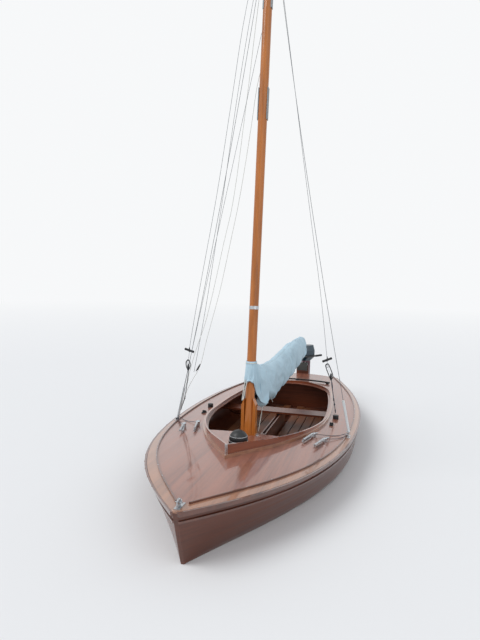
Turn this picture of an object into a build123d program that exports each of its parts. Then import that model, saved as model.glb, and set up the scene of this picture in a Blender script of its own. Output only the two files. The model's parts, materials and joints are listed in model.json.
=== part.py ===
from build123d import *
import os
from collections import namedtuple
from math import atan2, sin, sqrt

# A varnished wooden sailing dinghy, afloat with its mast up and its sail stowed on the boom.
# Millimetres. +X points to the bow, +Y to port, +Z up.
# The origin is on the waterline, on the centreplane, BOW_X aft of the bow.

os.makedirs("parts", exist_ok=True)

# Leading dimensions

LENGTH = 5750.0
BOW_X = 3050.0
STERN_X = BOW_X - LENGTH
PLANK = 14.0
DECK_T = 12.0
CAMBER = 0.06
STEM_RAKE = 0.35
TRANSOM_T = 24.0

# Hull stations. s is the distance aft of the bow, beam the half breadth at the deck edge.
# bilge_y and bilge_z are the corner that bilge_r rounds, keel_z is the lowest point.
Station = namedtuple("Station", "s beam sheer bilge_y bilge_z keel_z bilge_r keel_r")
STATIONS = [
    Station(0, 18, 452, 13, 5, -26, 40, 5),
    Station(450, 372, 424, 166, -22, -58, 150, 40),
    Station(1200, 768, 383, 570, -32, -80, 200, 80),
    Station(2200, 1005, 342, 945, -32, -92, 180, 100),
    Station(3200, 1064, 322, 1025, -30, -95, 180, 100),
    Station(4200, 985, 318, 925, -22, -84, 180, 100),
    Station(5200, 748, 326, 680, -2, -52, 160, 100),
    Station(LENGTH, 564, 339, 500, 24, -24, 136, 88),
]

RAIL_OUT = 17.0
RAIL_DROP = 30.0
STRAKE_DROP = 88.0
STRAKE_H = 20.0
STRAKE_OUT = 11.0

KEEL_W = 50.0
KEEL_H = 18.0

# Cockpit coaming, in plan: a straight vee, then two long arcs and a round aft end.
VEE_TIP_S = 1200.0
VEE_END = (1600.0, 272.0)
SIDE_S = 3100.0
SIDE_W = 700.0
AFT_S = 4360.0
AFT_W = 600.0
COCKPIT_AFT_S = 4920.0
COAMING_T = 16.0
OPENING_IN = 35.0
OPENING_FRONT_S = 2040.0
TRIM_W = 20.0
TRIM_H = 26.0

# Toe rail, in plan: its centre line.
ToePoint = namedtuple("ToePoint", "s w")
TOE_LINE = [
    ToePoint(150, 52),
    ToePoint(480, 282),
    ToePoint(1200, 682),
    ToePoint(2200, 945),
    ToePoint(3200, 1006),
    ToePoint(4200, 932),
    ToePoint(5200, 700),
    ToePoint(LENGTH, 517),
]
TOE_W = 12.0
TOE_H = 15.0

# Mast: a point on its axis and how far it leans aft for each mm of height.
MAST_S = 1975.0
MAST_REF_Z = 400.0
MAST_RAKE = 0.088
MAST_R = 48.0
MAST_STEP_Z = 4830.0
MAST_UPPER_R = 42.0
MAST_TOP_R = 26.0
MASTHEAD_Z = 7500.0

BOOM_Z = 860.0
BOOM_R = 34.0
BOOM_END_S = 5600.0
BOOM_END_Z = 900.0
GOOSENECK_BACK = 88.0
PIN_R = 6.0
RUN_GAP = 0.05

SHROUD_S = 2500.0
SHROUD_W = 1016.0
SHROUD_Z = 5600.0
SHROUD_SAG = 40.0
TUBE_L = 350.0
TUBE_R = 14.0
STAY_R = 2.5
CRANE_HOLE_R = 4.0
CHAIN_HOLE_R = 4.0

BOARD_T = 22.0
SLOT_W = 32.0
SLOT_FRONT_S = 2700.0
SLOT_AFT_S = 3900.0
CASE_WALL = 14.0
CASE_TOP = 215.0
FLOOR_Z = 5.0
THWART_Z = 252.0
THWART_S = 3580.0
THWART_L = 240.0
THWART_T = 24.0

# Outboard motor
PAD_T = 32.0
PAD_W = 206.0
PAD_TOP = 500.0
MOTOR_W = -22.0
MOTOR_RISE = 30.0
STEER_X = STERN_X - PAD_T - 62.0
TILT_X = STERN_X - PAD_T - 11.0
ARM_BACK = 22.0
TILT_Z = 524.0
HELM = -45.0
PROP_Z = -150.0
LEG_BACK = 95.0
COWL_BACK = 72.0


def at(s, w, z):
    """A point from its distance aft of the bow, its distance to port and its height."""
    return Vector(BOW_X - s, w, z)


def save(shape, name):
    export_step(shape, f"parts/{name}.step")


def solids_of(*shapes):
    """One compound of every solid in the shapes."""
    found = []
    for shape in shapes:
        found.extend(shape.solids())
    return Compound(children=found) if len(found) > 1 else found[0]


def mirrored(shape):
    """The shape and its image on the other side of the centreplane."""
    return solids_of(shape, mirror(shape, about=Plane.XZ))


def box(s0, s1, w0, w1, z0, z1):
    """A box between two stations, two offsets to port and two heights."""
    size = Vector(s1 - s0, w1 - w0, z1 - z0)
    middle = at((s0 + s1) / 2, (w0 + w1) / 2, (z0 + z1) / 2)
    return Pos(middle) * Box(size.X, size.Y, size.Z)


def rod(start, end, radius):
    """A round bar from one point to another."""
    run = Vector(*end) - Vector(*start)
    plane = Plane(origin=Vector(*start), z_dir=run)
    return plane * Pos(0, 0, run.length / 2) * Cylinder(radius, run.length)


# Hull form

def half_section(station, inset=0.0):
    """Deck edge, bilge corner and keel of one side, moved inwards by inset."""
    edge = Vector(station.beam, station.sheer)
    corner = Vector(station.bilge_y, station.bilge_z)
    keel = Vector(0, station.keel_z)
    down = (corner - edge).normalized()
    across = (keel - corner).normalized()
    side_in = Vector(down.Y, -down.X)
    floor_in = Vector(across.Y, -across.X)
    spread = (side_in + floor_in) * (inset / (1 + side_in.dot(floor_in)))
    return [
        edge + side_in * inset,
        corner + spread,
        keel + Vector(0, inset / floor_in.Y),
    ]


def side_slope(station):
    """How much narrower the topside gets for each mm below the deck edge."""
    return (station.beam - station.bilge_y) / (station.sheer - station.bilge_z)


def raked(station, w, z):
    """A point of a section; the first section leans with the stem."""
    lean = STEM_RAKE * (station.sheer - z) if station.s == 0 else 0.0
    return at(station.s + lean, w, z)


def hull_face(station, inset=0.0, lift=0.0):
    """A closed section of the hull, with a cambered top, or a flat one raised by lift."""
    edge, corner, keel = half_section(station, inset)
    if lift:
        slope = side_slope(station)
        edge = Vector(edge.X + slope * lift, edge.Y + lift)
    radii = [station.bilge_r - inset, max(station.keel_r - inset, 2.0), station.bilge_r - inset]
    path = FilletPolyline(
        raked(station, -edge.X, edge.Y),
        raked(station, -corner.X, corner.Y),
        raked(station, 0, keel.Y),
        raked(station, corner.X, corner.Y),
        raked(station, edge.X, edge.Y),
        radius=radii,
    )
    start, end = raked(station, -edge.X, edge.Y), raked(station, edge.X, edge.Y)
    if lift:
        top = Line(end, start)
    else:
        top = ThreePointArc(end, raked(station, 0, edge.Y + CAMBER * station.beam), start)
    return Face(Wire([*path.edges(), *top.edges()]))


def deck_face(station, low, high):
    """A band that follows the cambered deck, from low to high over its underside."""
    beam, z, rise = station.beam, station.sheer, CAMBER * station.beam
    under = ThreePointArc(
        at(station.s, -beam, z + low), at(station.s, 0, z + rise + low), at(station.s, beam, z + low)
    )
    over = ThreePointArc(
        at(station.s, beam, z + high), at(station.s, 0, z + rise + high), at(station.s, -beam, z + high)
    )
    right = Line(under @ 1, over @ 0)
    left = Line(over @ 1, under @ 0)
    edges = [*under.edges(), *right.edges(), *over.edges(), *left.edges()]
    return Face(Wire(edges))


def deck_band(low, high):
    return loft([deck_face(station, low, high) for station in STATIONS])


def four_sided(points):
    return Face(Wire(Polyline(*points, close=True).edges()))


def deck_top(s, w):
    """Height of the deck's upper face, read between the stations."""
    for fore, aft in zip(STATIONS, STATIONS[1:]):
        if s <= aft.s:
            share = (s - fore.s) / (aft.s - fore.s)
            beam = fore.beam + share * (aft.beam - fore.beam)
            sheer = fore.sheer + share * (aft.sheer - fore.sheer)
            return sheer + DECK_T + CAMBER * beam * (1 - (w / beam) ** 2)
    raise ValueError(s)


# Hull shell

outer = loft([hull_face(station) for station in STATIONS])
cavity = loft([hull_face(station, PLANK, 220.0) for station in STATIONS[1:]])
cavity_end = extrude(hull_face(STATIONS[-1], PLANK, 220.0), amount=60, dir=(-1, 0, 0))
slot = box(SLOT_FRONT_S, SLOT_AFT_S, -SLOT_W / 2, SLOT_W / 2, -300, 60)
shell = outer - cavity - cavity_end - slot
save(shell, "hull")

transom_slab = box(LENGTH - TRANSOM_T, LENGTH, -800, 800, -200, 330)
transom = cavity & transom_slab
save(transom, "transom")

# Rub rails and strakes

def edge_strip(drop, height, out, rise=0.0):
    """A strip along both topsides, its lower edge at drop below the deck edge."""
    faces = []
    for station in STATIONS:
        slope = side_slope(station)
        low = station.beam - slope * drop
        high = station.beam - slope * (drop - height)
        top = height - drop
        points = [(low - 3, -drop), (low + out, -drop), (high + out, top), (high - 3, top)]
        faces.append(
            four_sided([raked(station, w, station.sheer + z) for w, z in points])
        )
    return loft(faces)


whole = outer + deck_band(-1, DECK_T)
rail = edge_strip(RAIL_DROP, RAIL_DROP + DECK_T - 1, RAIL_OUT) - whole
strake = edge_strip(STRAKE_DROP, STRAKE_H, STRAKE_OUT) - outer
half_space = box(-200, LENGTH + 200, 0.0, 1400, -400, 900)
save(mirrored(rail & half_space), "rub_rails")
save(mirrored(strake & half_space), "side_strakes")

# Keel batten and skeg

def keel_face(station, low, high):
    z = station.keel_z
    half = KEEL_W / 2
    corners = [(-half, low), (half, low), (half, high), (-half, high)]
    return four_sided([raked(station, w, z + h) for w, h in corners])


keel = loft([keel_face(station, -KEEL_H, 22) for station in STATIONS[1:]]) - outer - slot
skeg_side = Polyline(
    at(4600, 0, -50), at(5735, 0, 20), at(5735, 0, -150), at(5550, 0, -160), close=True
)
skeg = extrude(Face(Wire(skeg_side.edges())), amount=13, both=True, dir=(0, 1, 0)) - outer - keel
save(solids_of(keel, max(skeg.solids(), key=lambda solid: solid.volume)), "keel")

# Deck, cut round the cockpit and along the toe rails

Arc = namedtuple("Arc", "s w r")
VEE_ANGLE = atan2(VEE_END[1], VEE_END[0] - VEE_TIP_S)
rise = SIDE_W - VEE_END[1]
run = SIDE_S - VEE_END[0]
FORE_ARC = Arc(SIDE_S, SIDE_W - (run ** 2 + rise ** 2) / (2 * rise), (run ** 2 + rise ** 2) / (2 * rise))
drop = SIDE_W - AFT_W
reach = AFT_S - SIDE_S
MID_R = (reach ** 2 + drop ** 2) / (2 * drop)
MID_ARC = Arc(SIDE_S, SIDE_W - MID_R, MID_R)
AFT_C = (COCKPIT_AFT_S ** 2 - AFT_S ** 2 - AFT_W ** 2) / (2 * (COCKPIT_AFT_S - AFT_S))
AFT_ARC = Arc(AFT_C, 0.0, COCKPIT_AFT_S - AFT_C)


def on_arc(arc, s, off):
    """The point of an offset arc at a given distance aft of the bow."""
    return (s, arc.w + sqrt((arc.r + off) ** 2 - (s - arc.s) ** 2))


def coaming_loop(off, front=None):
    """The coaming's plan outline moved outwards by off, open ahead of front if that is given."""
    fore_s = VEE_END[0] + off * (VEE_END[0] - FORE_ARC.s) / FORE_ARC.r if front is None else front
    fore = on_arc(FORE_ARC, fore_s, off)
    side = (SIDE_S, SIDE_W + off)
    aft = on_arc(AFT_ARC, AFT_S, off)
    half = [
        ThreePointArc(at(*fore, 0), at(*on_arc(FORE_ARC, (fore_s + SIDE_S) / 2, off), 0), at(*side, 0)),
        ThreePointArc(at(*side, 0), at(*on_arc(MID_ARC, (SIDE_S + AFT_S) / 2, off), 0), at(*aft, 0)),
    ]
    other = [mirror(arc, about=Plane.XZ) for arc in half]
    stern = ThreePointArc(at(*aft, 0), at(AFT_ARC.s + AFT_ARC.r + off, 0, 0), at(aft[0], -aft[1], 0))
    edges = [edge for arc in [*half, stern, *other] for edge in arc.edges()]
    if front is None:
        tip = at(VEE_TIP_S - off / sin(VEE_ANGLE), 0, 0)
        edges += [*Line(tip, at(*fore, 0)).edges(), *Line(tip, at(fore[0], -fore[1], 0)).edges()]
    else:
        edges += Line(at(*fore, 0), at(fore[0], -fore[1], 0)).edges()
    return Face(Wire(edges))


def upright(face, low, high):
    return extrude(Pos(0, 0, low) * face, amount=high - low, dir=(0, 0, 1))


def toe_block(off):
    """Everything inside the toe rails' centre lines, moved outwards by off."""
    faces = []
    for point in TOE_LINE:
        w = point.w + off
        faces.append(
            four_sided([at(point.s, -w, 150), at(point.s, w, 150), at(point.s, w, 750), at(point.s, -w, 750)])
        )
    return loft(faces)


deck_whole = deck_band(0, DECK_T)
under_deck = deck_band(-150, DECK_T)
well = upright(coaming_loop(-OPENING_IN, OPENING_FRONT_S), 0, 800)
inside_toes = toe_block(-TOE_W / 2)
save((deck_whole & inside_toes) - well - outer, "deck")
save((deck_whole - inside_toes) - outer, "covering_boards")

toe_band = toe_block(TOE_W / 2) - inside_toes
save(toe_band & deck_band(DECK_T, DECK_T + TOE_H), "toe_rails")

# Coaming: vee breakwater ahead of the well, low sides and aft end, and its base moulding

top_line = [
    ThreePointArc(at(1100, 0, 572), at(2040, 0, 470), at(3100, 0, 399)),
    Line(at(3100, 0, 399), at(4360, 0, 396)),
    ThreePointArc(at(4360, 0, 396), at(4700, 0, 407), at(5000, 0, 428)),
    Polyline(at(5000, 0, 428), at(5000, 0, 250), at(1100, 0, 250), at(1100, 0, 572)),
]
side_view = Face(Wire([edge for line in top_line for edge in line.edges()]))
under_top_line = extrude(side_view, amount=900, both=True, dir=(0, 1, 0))

inside_coaming = upright(coaming_loop(-COAMING_T / 2), 260, 700)
within_coaming = upright(coaming_loop(COAMING_T / 2), 260, 700)
coaming = ((within_coaming - inside_coaming) & under_top_line) - under_deck
split_s = 1900.0
breakwater = coaming & box(1000, split_s, -900, 900, 200, 800)
save(breakwater, "breakwater")
save(coaming - box(1000, split_s, -900, 900, 200, 800), "coaming")

trim_band = upright(coaming_loop(COAMING_T / 2 + TRIM_W), 260, 700) - within_coaming
save(trim_band & deck_band(DECK_T, DECK_T + TRIM_H), "coaming_moulding")

# Inner structure

inner = loft([hull_face(station, PLANK + 26, 220.0) for station in STATIONS[1:]])
RIB_S = [2350.0, 2950.0, 4250.0, 4700.0]
ribs = []
for s in RIB_S:
    slab = box(s - 9, s + 9, -1200, 1200, -200, 700)
    ribs.append((cavity & slab) - (inner & slab) - slot)
below_deck = loft([deck_face(station, -700, -2) for station in STATIONS])
ribs_cut = solids_of(*[rib & below_deck for rib in ribs])
save(ribs_cut, "ribs")

MAST_BEAM_S = 1960.0
mast_frame_slab = box(MAST_BEAM_S - 20, MAST_BEAM_S + 20, -1200, 1200, -200, 700)
mast_frame = (cavity & mast_frame_slab) & below_deck
arch = box(MAST_BEAM_S - 30, MAST_BEAM_S + 30, 110, 620, 40, 300)
mast_frame = mast_frame - arch - mirror(arch, about=Plane.XZ)
save(mast_frame, "mast_frame")

AFT_FRAME_S = 5060.0
aft_slab = box(AFT_FRAME_S - 8, AFT_FRAME_S + 8, -1200, 1200, -200, 700)
save((cavity & aft_slab) & below_deck, "aft_bulkhead")

# Floorboards, laid over the ribs beside the centreboard case
board_w, board_gap = 105.0, 12.0
slats = []
for index in range(5):
    w0 = SLOT_W / 2 + CASE_WALL + 22 + index * (board_w + board_gap)
    slats.append(box(2060, 4900 - 90 * index, w0, w0 + board_w, FLOOR_Z, FLOOR_Z + 14))
boards = [slat & inner for slat in slats]
save(mirrored(solids_of(*boards)), "floorboards")

case_half = SLOT_W / 2 + CASE_WALL
case_out = box(SLOT_FRONT_S - 30, SLOT_AFT_S + 30, -case_half, case_half, -120, CASE_TOP)
case_in = box(SLOT_FRONT_S, SLOT_AFT_S, -SLOT_W / 2, SLOT_W / 2, -300, CASE_TOP + 10)
case = ((case_out - case_in) & cavity) - ribs_cut
save(case, "centreboard_case")

thwart_block = box(THWART_S, THWART_S + THWART_L, -1200, 1200, THWART_Z - THWART_T, THWART_Z)
thwart = (thwart_block & cavity)
save(thwart, "thwart")
riser_block = box(3300, 4100, -1200, 1200, THWART_Z - THWART_T - 40, THWART_Z - THWART_T)
risers = (riser_block & cavity) - (riser_block & inner)
save(risers, "thwart_risers")

# Centreboard, raised in its case
PIVOT_S, PIVOT_Z = 2790.0, -20.0
board_side = FilletPolyline(
    at(2714, 0, -46), at(2740, 0, 130), at(2900, 0, 190), at(3800, 0, 190),
    at(3860, 0, -40), at(3700, 0, -90), at(2746, 0, -90),
    radius=24, close=True,
)
centreboard = extrude(Face(Wire(board_side.edges())), amount=BOARD_T / 2, both=True, dir=(0, 1, 0))
pivot_hole = Pos(at(PIVOT_S, 0, PIVOT_Z)) * Rot(90, 0, 0) * Cylinder(8 + RUN_GAP, 100)
save(centreboard - pivot_hole, "centreboard")
pivot_pin = Pos(at(PIVOT_S, 0, PIVOT_Z)) * Rot(90, 0, 0) * Cylinder(8, SLOT_W)
save(pivot_pin, "centreboard_pin")

# Mast, in its own frame: the foot at the origin and the axis along Z
def mast_point(z):
    return at(MAST_S + MAST_RAKE * (z - MAST_REF_Z), 0, z)


FOOT_Z = 380.0
mast_plane = Plane(origin=mast_point(FOOT_Z), x_dir=(1, 0, MAST_RAKE), z_dir=(-MAST_RAKE, 0, 1))
LEAN = sqrt(1 + MAST_RAKE ** 2)


def along(z):
    """Distance up the mast from its foot to a height above the water."""
    return (z - FOOT_Z) * LEAN


lower = Pos(0, 0, along(MAST_STEP_Z) / 2) * Cylinder(MAST_R, along(MAST_STEP_Z))
upper_len = along(MASTHEAD_Z) - along(MAST_STEP_Z)
upper = Pos(0, 0, along(MAST_STEP_Z) + upper_len / 2) * Cone(MAST_UPPER_R, MAST_TOP_R, upper_len)
mast = (mast_plane * (lower + upper)) - under_deck
save(mast, "mast")
mast_clear = mast_plane * (Pos(0, 0, 400) * Cylinder(MAST_R, 1400))

CHEEK_S, CHEEK_L = MAST_S + 20, 84.0
CHEEK_IN, CHEEK_OUT, CHEEK_SLOPE = 40.0, 76.0, 62.0
CHEEK_TOP = 800.0
cheek_end = four_sided(
    [
        at(CHEEK_S, CHEEK_IN, 330), at(CHEEK_S, CHEEK_OUT, 330),
        at(CHEEK_S, CHEEK_OUT, CHEEK_TOP - CHEEK_SLOPE), at(CHEEK_S, CHEEK_IN + 8, CHEEK_TOP),
    ]
)
cheek = extrude(cheek_end, amount=CHEEK_L / 2, both=True, dir=(1, 0, 0)) - mast_clear - under_deck
save(mirrored(cheek), "mast_cheeks")

plate_z0, plate_z1 = along(3690), along(4020)
plate_shape = Pos(0, MAST_R + 1, (plate_z0 + plate_z1) / 2) * Box(52, 10, plate_z1 - plate_z0)
upper_plate = Pos(0, MAST_UPPER_R + 1, along(5010)) * Box(44, 14, 340)
plates = mast_plane * solids_of(plate_shape, upper_plate)
save(mirrored(plates - mast), "mast_plates")

band = Pos(0, 0, along(1740)) * (Cylinder(MAST_R + 3, 34) - Cylinder(MAST_R, 40))
TANG_Z = along(SHROUD_Z)
tang_r = MAST_UPPER_R - (MAST_UPPER_R - MAST_TOP_R) * (TANG_Z - along(MAST_STEP_Z)) / upper_len
tang = Pos(0, tang_r + 2, TANG_Z) * Box(30, 8, 120)
head = Pos(0, 0, along(MASTHEAD_Z) + 9) * Cylinder(MAST_TOP_R + 3, 18)
crane = Pos(-45, 0, along(MASTHEAD_Z) + 9) * Box(110, 12, 18)
crane_hole = Pos(-88, 0, along(MASTHEAD_Z) + 9) * Rot(90, 0, 0) * Cylinder(CRANE_HOLE_R, 40)
fittings = mast_plane * solids_of(band, head + crane - crane_hole, tang, mirror(tang, about=Plane.XZ))
save(solids_of(*[piece - mast for piece in fittings.solids()]), "mast_fittings")

# Gooseneck on the mast and boom
BOOM_U = along(BOOM_Z + GOOSENECK_BACK * MAST_RAKE)
lug = Box(70, 34, 8)
lug_x = -GOOSENECK_BACK + 21
lugs = Pos(lug_x, 0, BOOM_U + 24) * lug + Pos(lug_x, 0, BOOM_U - 24) * lug
back_plate = Pos(-MAST_R - 2, 0, BOOM_U) * Box(8, 34, 56)
pin = Pos(-GOOSENECK_BACK, 0, BOOM_U) * Cylinder(PIN_R, 68)
gooseneck = mast_plane * (lugs + back_plate + pin) - mast
save(gooseneck, "gooseneck")
PIN_AT = mast_plane * Pos(-GOOSENECK_BACK, 0, BOOM_U)
PIN_POINT = PIN_AT.position

boom_start_s = BOW_X - PIN_POINT.X + 26
boom_tip = at(BOOM_END_S, 0, BOOM_END_Z)
boom_bar = rod(at(boom_start_s, 0, BOOM_Z), boom_tip, BOOM_R)
eye = PIN_AT * (Cylinder(15, 38) - Cylinder(PIN_R + RUN_GAP, 60))
tongue_box = box(BOW_X - PIN_POINT.X + 8, boom_start_s + 6, -9, 9, BOOM_Z - 17, BOOM_Z + 17)
tongue = tongue_box - PIN_AT * Cylinder(PIN_R + 5, 60)
save(boom_bar, "boom")
save((eye + tongue) - boom_bar, "boom_end_fitting")

# Sail cover: a soft body round the boom, and a collar round the mast
CoverPoint = namedtuple("CoverPoint", "s half top low")
COVER = [
    CoverPoint(2160, 60, 1030, 720),
    CoverPoint(2420, 122, 1075, 628),
    CoverPoint(2800, 130, 1048, 632),
    CoverPoint(3500, 118, 1042, 668),
    CoverPoint(4300, 104, 1083, 694),
    CoverPoint(5000, 84, 1088, 732),
    CoverPoint(5540, 62, 1006, 808),
]


def cover_face(point):
    centre = at(point.s, 0, (point.top + point.low) / 2)
    plane = Plane(origin=centre, x_dir=(0, 1, 0), z_dir=(1, 0, 0))
    return plane * Ellipse(point.half, (point.top - point.low) / 2)


cover_body = loft([cover_face(point).face() for point in COVER])
boom_way = (boom_tip - boom_bar.center()).normalized() * LENGTH
boom_hole = rod(boom_tip - boom_way, boom_tip + boom_way, BOOM_R)
save(cover_body - boom_hole, "sail_cover")

collar_z0, collar_z1 = along(1000), along(1185)
collar = Pos(0, 0, (collar_z0 + collar_z1) / 2) * (
    Cone(MAST_R + 20, MAST_R + 9, collar_z1 - collar_z0) - Cylinder(MAST_R, 300)
)
save(mast_plane * collar, "cover_collar")

# Standing rigging. The boat lies at rest, so its shrouds are a little slack and bow inwards.
shroud_foot = at(SHROUD_S, SHROUD_W - 16, 386)
tang_point = (mast_plane * Pos(0, tang_r + 9, TANG_Z)).position
shroud_run = (tang_point - shroud_foot).normalized()
down = Vector(0, 0, -1)
sag_way = (down - shroud_run * down.dot(shroud_run)).normalized()
shroud_line = ThreePointArc(shroud_foot, (shroud_foot + tang_point) / 2 + sag_way * SHROUD_SAG, tang_point)
shroud = sweep(Plane(origin=shroud_foot, z_dir=shroud_line % 0) * Circle(STAY_R), path=shroud_line)
save(mirrored(shroud), "shrouds")

tube_dir = shroud_line % 0
tube_foot = shroud_foot + tube_dir * 12
tube = rod(tube_foot, tube_foot + tube_dir * TUBE_L, TUBE_R) - shroud
save(mirrored(tube), "shroud_tubes")

lug_s0, lug_s1, lug_w = SHROUD_S - 70, SHROUD_S + 16, SHROUD_W - 16
chain_base = box(lug_s0 - 14, lug_s1 + 14, lug_w - 10, lug_w + 14, 300, 500) & deck_band(DECK_T, DECK_T + 4)
chain_lug = box(lug_s0, lug_s1, lug_w - 2.5, lug_w + 2.5, 300, 385) - under_deck
lug_hole = Pos(at(SHROUD_S - 50, lug_w, 372)) * Rot(90, 0, 0) * Cylinder(CHAIN_HOLE_R, 40)
save(mirrored(chain_base + chain_lug - lug_hole), "chainplates")

STAY_HIGH_Z = 4600.0
stay_high = (mast_plane * Pos(0, -MAST_R - 3, along(STAY_HIGH_Z))).position
stay_low = at(SHROUD_S - 20, -SHROUD_W + 16, 387)
save(rod(stay_low, stay_high, 2.0), "forestay")

# Deck gear
def seated(shape):
    return shape - under_deck


BOW_RING_S, BOW_RING_Z, BOW_RING_R = 70.0, 503.0, 8.0
bow_base = box(28, 150, -22, 22, 380, 482)
ring_bar = box(BOW_RING_S - 30, BOW_RING_S + 30, -5, 5, BOW_RING_Z - 33, BOW_RING_Z + 17)
ring_hole = Pos(at(BOW_RING_S, 0, BOW_RING_Z)) * Rot(90, 0, 0) * Cylinder(BOW_RING_R, 40)
bow_plate = seated(bow_base & deck_band(DECK_T, DECK_T + 5))
save(bow_plate + (seated(ring_bar) - ring_hole), "bow_fitting")

COMPASS_S, COMPASS_R = 1600.0, 92.0
compass_z = deck_top(COMPASS_S, 0)
dome = Pos(at(COMPASS_S, 0, compass_z + COMPASS_R * 0.6)) * Sphere(COMPASS_R)
foot = Pos(at(COMPASS_S, 0, compass_z + 8)) * Cylinder(COMPASS_R + 4, 60)
save(seated(dome + foot), "compass")

# Traveller: a bar that follows the deck's camber on three feet
TRAVELLER_S = 5100.0
TRAVELLER_HALF = 520.0
TRACK_LOW, TRACK_HIGH = DECK_T + 16, DECK_T + 36


def deck_slab(length, half, middle_w=0.0):
    """A tall block on the traveller's line, to cut a piece out of a band of the deck."""
    fore, aft = TRAVELLER_S - length / 2, TRAVELLER_S + length / 2
    return box(fore, aft, middle_w - half, middle_w + half, 300, 500)


track = deck_band(TRACK_LOW, TRACK_HIGH) & deck_slab(24, TRAVELLER_HALF)
traveller = track
for w in (-480, 0, 480):
    traveller = traveller + (deck_band(DECK_T, TRACK_LOW + 4) & deck_slab(36, 24, w))
save(traveller, "traveller")

# Stay levers beside the mast: a flat bar on two feet, with a drum at its aft end
Lever = namedtuple("Lever", "s0 w0 s1 w1")
LEVERS = [Lever(1920, 580, 2235, 655), Lever(1890, 700, 2140, 785)]
LEVER_LIFT, LEVER_W, LEVER_T = 20.0, 24.0, 9.0
DRUM_R, DRUM_H = 22.0, 30.0


def stay_lever(lever):
    fore = at(lever.s0, lever.w0, deck_top(lever.s0, lever.w0) + LEVER_LIFT)
    aft = at(lever.s1, lever.w1, deck_top(lever.s1, lever.w1) + LEVER_LIFT)
    run = aft - fore
    up = run.cross(Vector(0, 0, 1)).cross(run)
    shape = Plane(origin=(fore + aft) / 2, x_dir=run, z_dir=up) * Box(run.length, LEVER_W, LEVER_T)
    inset = run.normalized() * LEVER_W
    for end in (fore + inset, aft - inset):
        shape = shape + Pos(end.X, end.Y, end.Z - LEVER_LIFT) * Cylinder(LEVER_W / 3, 2 * LEVER_LIFT)
    return seated(shape + Pos(aft) * Cylinder(DRUM_R, DRUM_H))


save(mirrored(solids_of(*[stay_lever(lever) for lever in LEVERS])), "stay_levers")

# A cam cleat and a round block on each side deck
CLEAT_S, CLEAT_W = 2800.0, 780.0
BLOCK_S, BLOCK_W = 3105.0, 800.0
BLOCK_R, BLOCK_H = 34.0, 44.0
cleat_z = deck_top(CLEAT_S, CLEAT_W)
cleat = box(CLEAT_S - 40, CLEAT_S + 40, CLEAT_W - 20, CLEAT_W + 20, cleat_z - 30, cleat_z + 12)
for w in (CLEAT_W - 11, CLEAT_W + 11):
    cleat = cleat + Pos(at(CLEAT_S, w, cleat_z + 18)) * Cylinder(10, 24)
block_z = deck_top(BLOCK_S, BLOCK_W) + BLOCK_H / 2 - 12
block = Pos(at(BLOCK_S, BLOCK_W, block_z)) * Cylinder(BLOCK_R, BLOCK_H + 24)
save(mirrored(solids_of(seated(cleat), seated(block))), "deck_blocks")

# Outboard motor: pad and clamp on the transom, then the tilting and the steered parts.
# It is drawn on the centreplane and then moved to where it hangs.
hung = Pos(0, MOTOR_W, MOTOR_RISE)
pad = (hung * box(LENGTH, LENGTH + PAD_T, -PAD_W / 2, PAD_W / 2, 80, PAD_TOP)) - whole - rail
save(pad, "motor_pad")

clamp_side = Polyline(
    Vector(STERN_X - PAD_T - ARM_BACK, 0, 300), Vector(STERN_X - PAD_T - ARM_BACK, 0, 540),
    Vector(STERN_X + 46, 0, 540), Vector(STERN_X + 46, 0, 408),
    Vector(STERN_X + 24, 0, 408), Vector(STERN_X + 24, 0, PAD_TOP),
    Vector(STERN_X - PAD_T, 0, PAD_TOP), Vector(STERN_X - PAD_T, 0, 300), close=True
)
clamp_arm = extrude(Face(Wire(clamp_side.edges())), amount=14, both=True, dir=(0, 1, 0))
arms = [Pos(0, w, 0) * clamp_arm for w in (-72, 72)]
screws = []
for w in (-72, 72):
    spindle = Pos(STERN_X + 42, w, 452) * Rot(0, 90, 0) * Cylinder(7, 76)
    handle = Pos(STERN_X + 78, w, 452) * Box(8, 12, 74)
    pressure = Pos(STERN_X + 3, w, 452) * Rot(0, 90, 0) * Cylinder(15, 6)
    screws += [spindle, handle, pressure]
bridge = box(LENGTH + PAD_T, LENGTH + PAD_T + ARM_BACK, -60, 60, 320, 356)
tilt_pin = Pos(TILT_X, 0, TILT_Z) * Rot(90, 0, 0) * Cylinder(6, 200)
face_plate = box(LENGTH - 46, LENGTH - 24, -70, 70, 416, 540)
clamp = arms[0] + arms[1] + bridge + tilt_pin + face_plate
for piece in screws:
    clamp = clamp + piece
save(hung * clamp, "motor_clamp")

# Swivel bracket, which tilts: a head on the tilt pin and the steering tube
swivel_head = box(LENGTH + PAD_T + 2, LENGTH + PAD_T + 62, -52, 52, 510, 536)
tube_x = STEER_X
tube_len = 250.0
steer_tube = Pos(tube_x, 0, 536 - tube_len / 2) * Cylinder(20, tube_len)
web = Pos(tube_x + 22, 0, 490) * Box(20, 20, 80)
steer_bore = Pos(tube_x, 0, 420) * Cylinder(9 + RUN_GAP, 400)
pin_bore = Pos(TILT_X, 0, TILT_Z) * Rot(90, 0, 0) * Cylinder(6 + RUN_GAP, 400)
swivel = (swivel_head + steer_tube + web) - steer_bore - pin_bore
save(hung * swivel, "swivel_bracket")

# Steered part, drawn pointing straight ahead and then turned to its rest helm
turn = hung * Pos(STEER_X, 0, 0) * Rot(0, 0, HELM) * Pos(-STEER_X, 0, 0)
spindle = Pos(tube_x, 0, 408) * Cylinder(9, 300)
top_yoke = box(LENGTH + PAD_T + 34, LENGTH + PAD_T + 150, -34, 34, 542, 566)
low_yoke = box(LENGTH + PAD_T + 40, LENGTH + PAD_T + 150, -26, 26, 252, 276)
leg_x = STEER_X - LEG_BACK


def oval(length, width, z):
    return Pos(leg_x, 0, z) * Ellipse(length / 2, width / 2).face()


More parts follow.
